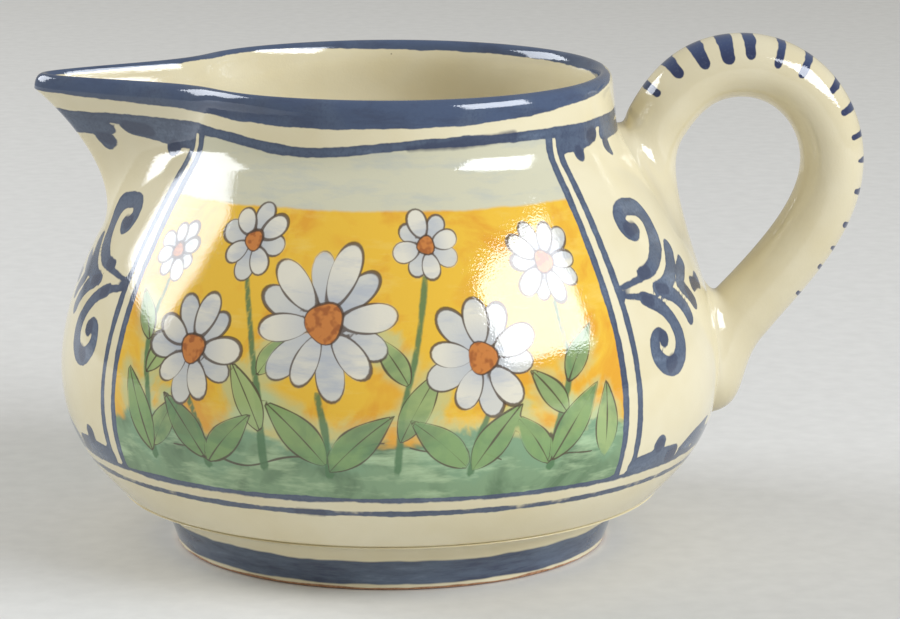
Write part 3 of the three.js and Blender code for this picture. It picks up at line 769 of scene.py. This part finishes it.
band_edge = add(tree, "Math", {
    "Value": from_band, "Value_001": BAND_HALF_HEIGHT}, operation="SUBTRACT")["Value"]
colour = coat(tree, cream_glaze(tree, place), cobalt, band_edge, hand, softness=0.2)
grit = add(tree, "TexNoise", {"Vector": place, "Scale": pattern_scale(CLAY_GRIT), "Detail": 3.0})["Fac"]
clay = mottled(tree, linear(BARE_CLAY), linear(BARE_CLAY_DARK), grit, 0.4, 0.7, 1.0)
above_bare = add(tree, "Math", {
    "Value": level, "Value_001": 1 / MM, "Value_002": -BARE_EDGE}, operation="MULTIPLY_ADD")["Value"]
colour = coat(tree, colour, clay, above_bare, hand, softness=0.1)
glazed(tree, place, colour)
foot.data.materials.append(foot_glaze)
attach(foot, "root")
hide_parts("foot_ring", "foot_slip")

# Handle: a pulled roll of clay bent into a loop, its two ends smeared out on the shoulder and on the belly.
# It is glazed with the bowl, and short blue strokes are brushed across its outer ridge.
ROLL_THICKNESS = 11.05
ROLL_THICKNESS_LOW = 11.6
ROLL_WIDTH = 11.8
HANDLE_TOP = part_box("handle")[1].z / MM
HANDLE_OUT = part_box("handle")[1].x / MM - AXIS_X
TOP_OUT = 60.8
TOP_LEAD = 11.2
BEND_HEIGHT = 64.9
BEND_LEAD = 12.3
UPPER_ROOT_HEIGHT = 66.1
UPPER_ROOT_ANGLE = math.radians(58.7)
UPPER_ROOT_LEAD = 6.7
UPPER_ROOT_WAIST = 0.5
WAIST_LENGTH = 18.0
LOWER_ROOT_HEIGHT = 33.2
LOWER_ROOT_ANGLE = math.radians(52.8)
LOWER_ROOT_LEAD = 11.4
LOWER_ROOT_FLARE = 0.6
FLARE_LENGTH = 13.0
SMEAR_START = 7.5
SMEAR_SUNK = 0.002
SMEAR_EDGE_STEP = 1.02
CAP_DEPTH = 1.8
LOOP_STEPS = 300
ROLL_RINGS = 200
SMEAR_RINGS = 36
ROLL_SIDES = 96
CIRCLE_LEAD = 4 / 3 * (math.sqrt(2) - 1)

# The handle's ends are tucked into the bowl's wall. A hidden ring is its reach, as a share of the smear's,
# and its depth.
TUCKED_RINGS = [(0.9, CAP_DEPTH), (1.08, CAP_DEPTH / 2), (1.06, 12 * SMEAR_SUNK), (1.03, 3 * SMEAR_SUNK)]


def bowl_radius(level):
    """Radius of the bowl's outside at a height, without the spout."""
    return np.interp(level, outside[:, 1], outside[:, 0])


upper_along = np.array([math.cos(UPPER_ROOT_ANGLE), math.sin(UPPER_ROOT_ANGLE)])
lower_along = np.array([-math.cos(LOWER_ROOT_ANGLE), -math.sin(LOWER_ROOT_ANGLE)])
upper_root = np.array([bowl_radius(UPPER_ROOT_HEIGHT), UPPER_ROOT_HEIGHT])
lower_root = np.array([bowl_radius(LOWER_ROOT_HEIGHT), LOWER_ROOT_HEIGHT])
loop_top = np.array([TOP_OUT, HANDLE_TOP - ROLL_THICKNESS / 2])
loop_bend = np.array([HANDLE_OUT - ROLL_THICKNESS / 2, BEND_HEIGHT])
bend_lead = (loop_bend - loop_top) * CIRCLE_LEAD
centre_line = joined([
    bezier([upper_root, upper_root + upper_along * UPPER_ROOT_LEAD,
            loop_top - (TOP_LEAD, 0), loop_top], LOOP_STEPS),
    bezier([loop_top, loop_top + (bend_lead[0], 0),
            loop_bend - (0, bend_lead[1]), loop_bend], LOOP_STEPS),
    bezier([loop_bend, loop_bend - (0, BEND_LEAD),
            lower_root - lower_along * LOWER_ROOT_LEAD, lower_root], LOOP_STEPS),
])
line_run = lengths_along(centre_line)
bend_run = line_run[2 * LOOP_STEPS]
line_along = np.gradient(centre_line, line_run, axis=0)
line_along /= np.linalg.norm(line_along, axis=1)[:, None]
side_turn = np.linspace(-math.pi, math.pi, ROLL_SIDES + 1)


def roll_ring(distance):
    """Oval ring of the roll at a distance along its centre line, and the roll's direction there."""
    centre = np.array([np.interp(distance, line_run, centre_line[:, axis]) for axis in (0, 1)])
    along = np.array([np.interp(distance, line_run, line_along[:, axis]) for axis in (0, 1)])
    waist = UPPER_ROOT_WAIST * max(1 - distance / WAIST_LENGTH, 0) ** 2
    flare = LOWER_ROOT_FLARE * max(1 - (line_run[-1] - distance) / FLARE_LENGTH, 0) ** 2
    thickness = np.interp(distance, (bend_run, line_run[-1]), (ROLL_THICKNESS, ROLL_THICKNESS_LOW))
    outwards = (thickness / 2 - waist + flare) * np.cos(side_turn)
    sideways = (ROLL_WIDTH / 2 - waist + flare) * np.sin(side_turn)
    ring = np.column_stack([centre[0] - along[1] * outwards, sideways, centre[1] + along[0] * outwards])
    return ring, np.array([along[0], 0, along[1]])


def in_bowl(level, arc, depth):
    """Points below the bowl's outside at some heights and at distances round it from the handle's plane."""
    reach = bowl_radius(level)
    bearing = arc / reach
    return np.column_stack([(reach - depth) * np.cos(bearing), (reach - depth) * np.sin(bearing), level])


def by_side(outer, beside, inner):
    """A value round the roll, from those on its outer ridge, at its sides and inside the loop."""
    ridge = np.cos(side_turn)
    return beside + (outer - inner) / 2 * ridge + ((outer + inner) / 2 - beside) * ridge ** 2


def smear(ring, along, levels, half_width, roll_pull, bowl_pull, blunt):
    """Rings that lead the roll out on to the bowl, from the cap inside the bowl's wall to the roll's ring.
    Levels are the heights that the smear reaches on the outer ridge, at its sides and inside the loop;
    a blunt smear meets the bowl steeply on the outer ridge. The curve has no bend at its ends."""
    outer, beside, inner = levels
    ridge = np.cos(side_turn)
    rise = np.where(ridge > 0, outer - beside, beside - inner) * ridge
    arc = half_width * np.sin(side_turn)
    foot_line = in_bowl(beside + rise, arc, SMEAR_SUNK)
    out_along = in_bowl(beside + rise * SMEAR_EDGE_STEP, arc * SMEAR_EDGE_STEP, SMEAR_SUNK) - foot_line
    out_along /= np.linalg.norm(out_along, axis=1)[:, None]
    into_bowl = in_bowl(beside + rise, arc, SMEAR_SUNK + 1) - foot_line
    roll_tangent = along * by_side(*roll_pull)[:, None]
    bowl_tangent = out_along * by_side(*bowl_pull)[:, None] + into_bowl * by_side(blunt, 0, 0)[:, None]
    rings = [in_bowl(beside + rise * reach, arc * reach, depth) for reach, depth in TUCKED_RINGS]
    for share in np.linspace(1, 0, SMEAR_RINGS):
        keep = 1 - 10 * share ** 3 + 15 * share ** 4 - 6 * share ** 5
        start_pull = share - 6 * share ** 3 + 8 * share ** 4 - 3 * share ** 5
        end_pull = -4 * share ** 3 + 7 * share ** 4 - 3 * share ** 5
        rings.append(
            ring * keep + roll_tangent * start_pull + foot_line * (1 - keep) + bowl_tangent * end_pull)
    return rings


upper_ring, upper_direction = roll_ring(SMEAR_START)
lower_ring, lower_direction = roll_ring(line_run[-1] - SMEAR_START)
upper_smear = smear(
    upper_ring, -upper_direction, levels=(72.0, 54.5, 41.5), half_width=13.5,
    roll_pull=(6.5, 17.0, 18.0), bowl_pull=(0.0, 11.0, 21.0), blunt=5.5)
lower_smear = smear(
    lower_ring, lower_direction, levels=(20.3, 31.5, 46.5), half_width=9.6,
    roll_pull=(20.0, 12.0, 4.6), bowl_pull=(4.0, 5.0, 4.1), blunt=19.0)
ring_distances = np.linspace(SMEAR_START, line_run[-1] - SMEAR_START, ROLL_RINGS)
roll = [roll_ring(distance)[0] for distance in ring_distances]
handle_rings = np.array(upper_smear[:-1] + roll + lower_smear[::-1][1:])

shape = bmesh.new()
bmesh.ops.create_grid(shape, x_segments=len(handle_rings) - 1, y_segments=ROLL_SIDES, size=1)
handle = placed("ticked_handle", shape)
grid_place = read_floats(handle.data.vertices, "co", 3)
ring_index = np.rint((grid_place[:, 0] + 1) / 2 * (len(handle_rings) - 1)).astype(int)
side_index = np.rint((grid_place[:, 1] + 1) / 2 * ROLL_SIDES).astype(int)
handle_place = handle_rings[ring_index, side_index] + (AXIS_X, 0, 0)
handle.data.vertices.foreach_set("co", (handle_place * MM).astype(np.float32).ravel())

# Blue strokes across the ridge: broad and long at the top of the loop, short and thin towards the belly.
# Each is its place along the ridge, half length and half width; it ends round, where the colour pools.
TICKS = [
    (4.1, 5.6, 0.8), (9.6, 6.3, 1.2), (14.9, 7.4, 1.35), (20.0, 8.0, 1.5),
    (24.5, 7.4, 1.15), (30.5, 8.0, 0.95), (36.0, 7.7, 0.9), (42.9, 5.8, 0.8),
    (47.9, 6.3, 0.8), (53.1, 5.8, 0.65), (57.8, 4.8, 0.6), (63.6, 4.8, 0.6),
    (70.0, 4.5, 0.55), (74.7, 4.3, 0.55), (78.7, 4.2, 0.55), (84.7, 4.4, 0.55)]
TICK_TAPER = 0.15
TICK_POOL = 3.0
ridge_line = handle_rings[:, ROLL_SIDES // 2]
ridge_run = lengths_along(ridge_line)[ring_index]
ridge_run -= ridge_run[ring_index == len(upper_smear) - 1][0]
around = np.abs(side_turn[side_index]) * (ROLL_THICKNESS + ROLL_WIDTH) / 4
ticks = np.full(len(around), NO_PAINT)
pools = np.full(len(around), NO_PAINT)
for middle, half_length, widest in TICKS:
    half_width = widest * (1 - TICK_TAPER * np.clip(around / half_length, 0, 1))
    beyond = np.maximum(around - half_length + half_width, 0)
    away = np.hypot(ridge_run - middle, beyond) - half_width
    pools = np.where(away < ticks, half_length - TICK_POOL - around, pools)
    ticks = np.minimum(ticks, away)
tick_fields = {"ticks": ticks, "tick_pools": pools}
for name, values in tick_fields.items():
    write_field(handle.data, name, np.clip(values, -NO_PAINT, NO_PAINT))

shape = bmesh.new()
shape.from_mesh(handle.data)
bmesh.ops.remove_doubles(shape, verts=shape.verts, dist=MERGE_DISTANCE * MM)
bmesh.ops.holes_fill(shape, edges=[edge for edge in shape.edges if edge.is_boundary])
bmesh.ops.recalc_face_normals(shape, faces=shape.faces)
shape.to_mesh(handle.data)
shape.free()
handle.data.shade_smooth()

# Ticked tin glaze: the bowl's cream glaze made a little darker all over, as painted shade for the handle's
# shaded sides, with cobalt strokes that are deeper where the brush was lifted.
HANDLE_SHADED_CREAM = "#e0d7ba"
HANDLE_SHADED_CREAM_DEEP = "#d8cca8"
TICK_BLUE = "#384a70"
TICK_POOL_BLUE = "#232e54"
TICK_DRIFT_SIZE = 2.5
TICK_DRIFT_REACH = 0.4

ticked_glaze = new_material("ticked_tin_glaze")
tree = ticked_glaze.node_tree
place = add(tree, "TexCoord")["Object"]
paint = {name: add(tree, "Attribute", attribute_name=name)["Fac"] for name in tick_fields}
drift = add(tree, "TexNoise", {
    "Vector": place, "Scale": pattern_scale(TICK_DRIFT_SIZE), "Detail": 1.0})["Fac"]
grain = add(tree, "TexNoise", {
    "Vector": place, "Scale": pattern_scale(PIGMENT_GRAIN), "Detail": 2.0})["Fac"]
hand = add(tree, "MapRange", {
    "Value": drift, "To Min": -TICK_DRIFT_REACH, "To Max": TICK_DRIFT_REACH})["Result"]
cobalt = mottled(tree, linear(TICK_BLUE), linear(TICK_POOL_BLUE), paint["tick_pools"], 2.0, -1.5, 0.9)
cobalt = mottled(tree, cobalt, linear(COBALT), grain, 0.55, 0.8, 0.4)
# The handle's cream is the bowl's cream made darker: painted shade for the sides of the handle.
shaded_cream = cream_glaze(tree, place, HANDLE_SHADED_CREAM, HANDLE_SHADED_CREAM_DEEP)
colour = coat(tree, shaded_cream, cobalt, paint["ticks"], hand)
glazed(tree, place, colour)
handle.data.materials.append(ticked_glaze)
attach(handle, "root")
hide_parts("handle", "upper_handle_slip", "lower_handle_slip")

# Floor: a wide sheet of pale matt paper that the jug stands on.
# It lies flat and reaches far enough back to be the backdrop too.
# The paper's fibre is drawn coarse enough to show.
FLOOR_SIZE = 4.0
PAPER = "#e2e1de"
PAPER_FIBRE = "#dcdbd8"
PAPER_ROUGHNESS = 0.9
PAPER_GLOSS = 0.15
FIBRE_SIZE = 4.0
FLOOR_STEPS = 8

shape = bmesh.new()
bmesh.ops.create_grid(shape, x_segments=FLOOR_STEPS, y_segments=FLOOR_STEPS, size=FLOOR_SIZE)
floor = placed("paper_floor", shape)
paper = new_material("matt_paper")
tree = paper.node_tree
place = add(tree, "TexCoord")["Object"]
fibre = add(tree, "TexNoise", {"Vector": place, "Scale": pattern_scale(FIBRE_SIZE), "Detail": 3.0})["Fac"]
colour = mottled(tree, linear(PAPER), linear(PAPER_FIBRE), fibre, 0.3, 0.7, 1.0)
shader = add(tree, "BsdfPrincipled", {
    "Base Color": colour, "Roughness": PAPER_ROUGHNESS, "Specular IOR Level": PAPER_GLOSS})["BSDF"]
add(tree, "OutputMaterial", {"Surface": shader})
floor.data.materials.append(paper)

# Studio light: a softbox from the right front, one from the left and an even, slightly warmer pale room.
# The softboxes are flat rectangles, which the glaze mirrors as bright windows.
JUG_MIDDLE = Vector((AXIS_X * MM, 0, RIM_HEIGHT / 2 * MM))
SOFTBOX_DISTANCE = 1.2
SOFTBOX_WHITE = "#f2f7ff"
WATTS_PER_BRIGHTNESS = 4
ROOM_TONE = "#e0ddd4"
ROOM_BRIGHTNESS = 0.52


def softbox(name, bearing, elevation, spread, tilt, brightness):
    """An area light that faces the jug. In degrees are its bearing from the front towards the handle, its
    elevation, its spread across and up, and its tilt; its power grows with its size."""
    bearing = math.radians(bearing)
    elevation = math.radians(elevation)
    towards = Vector((
        math.sin(bearing) * math.cos(elevation),
        -math.cos(bearing) * math.cos(elevation),
        math.sin(elevation)))
    width, breadth = [2 * SOFTBOX_DISTANCE * math.tan(math.radians(angle) / 2) for angle in spread]
    light = bpy.data.lights.new(name, "AREA")
    light.shape = "RECTANGLE"
    light.size = width
    light.size_y = breadth
    light.energy = WATTS_PER_BRIGHTNESS * width * breadth * brightness
    light.color = linear(SOFTBOX_WHITE)[:3]
    lamp = bpy.data.objects.new(name, light)
    lamp.location = JUG_MIDDLE + towards * SOFTBOX_DISTANCE
    lamp.rotation_euler = towards.to_track_quat("Z", "Y").to_euler()
    lamp.rotation_euler.rotate_axis("Z", math.radians(tilt))
    bpy.context.scene.collection.objects.link(lamp)


softbox("right_softbox", 54.8, 30.2, (34.1, 25.9), -2.6, 7.4)
softbox("left_softbox", -109.9, 28.4, (33.6, 25.7), -2.1, 5.5)

world = bpy.data.worlds.new("pale_room")
bpy.context.scene.world = world
world.use_nodes = True
world.node_tree.nodes.clear()
room = add(world.node_tree, "Background", {
    "Color": linear(ROOM_TONE), "Strength": ROOM_BRIGHTNESS})["Background"]
add(world.node_tree, "OutputWorld", {"Surface": room})

# Camera: a long lens that looks slightly down at the jug from the front, a little nearer to the spout.
# It is held level and turned slightly towards the handle, and nothing is out of focus.
LENS = 145.9
SENSOR_WIDTH = 36.0
CAMERA_PLACE = (-0.0542, -0.6185, 0.1702)
CAMERA_PITCH = math.radians(78.12)
CAMERA_TURN = math.radians(-4.95)
VIEW_DEPTH = 20.0

camera_data = bpy.data.cameras.new("camera")
camera_data.lens = LENS
camera_data.sensor_width = SENSOR_WIDTH
camera_data.sensor_fit = "HORIZONTAL"
camera_data.clip_end = VIEW_DEPTH
camera = bpy.data.objects.new("camera", camera_data)
camera.location = CAMERA_PLACE
camera.rotation_euler = (CAMERA_PITCH, 0, CAMERA_TURN)
bpy.context.scene.collection.objects.link(camera)
bpy.context.scene.camera = camera
bpy.context.scene.view_settings.view_transform = "Standard"
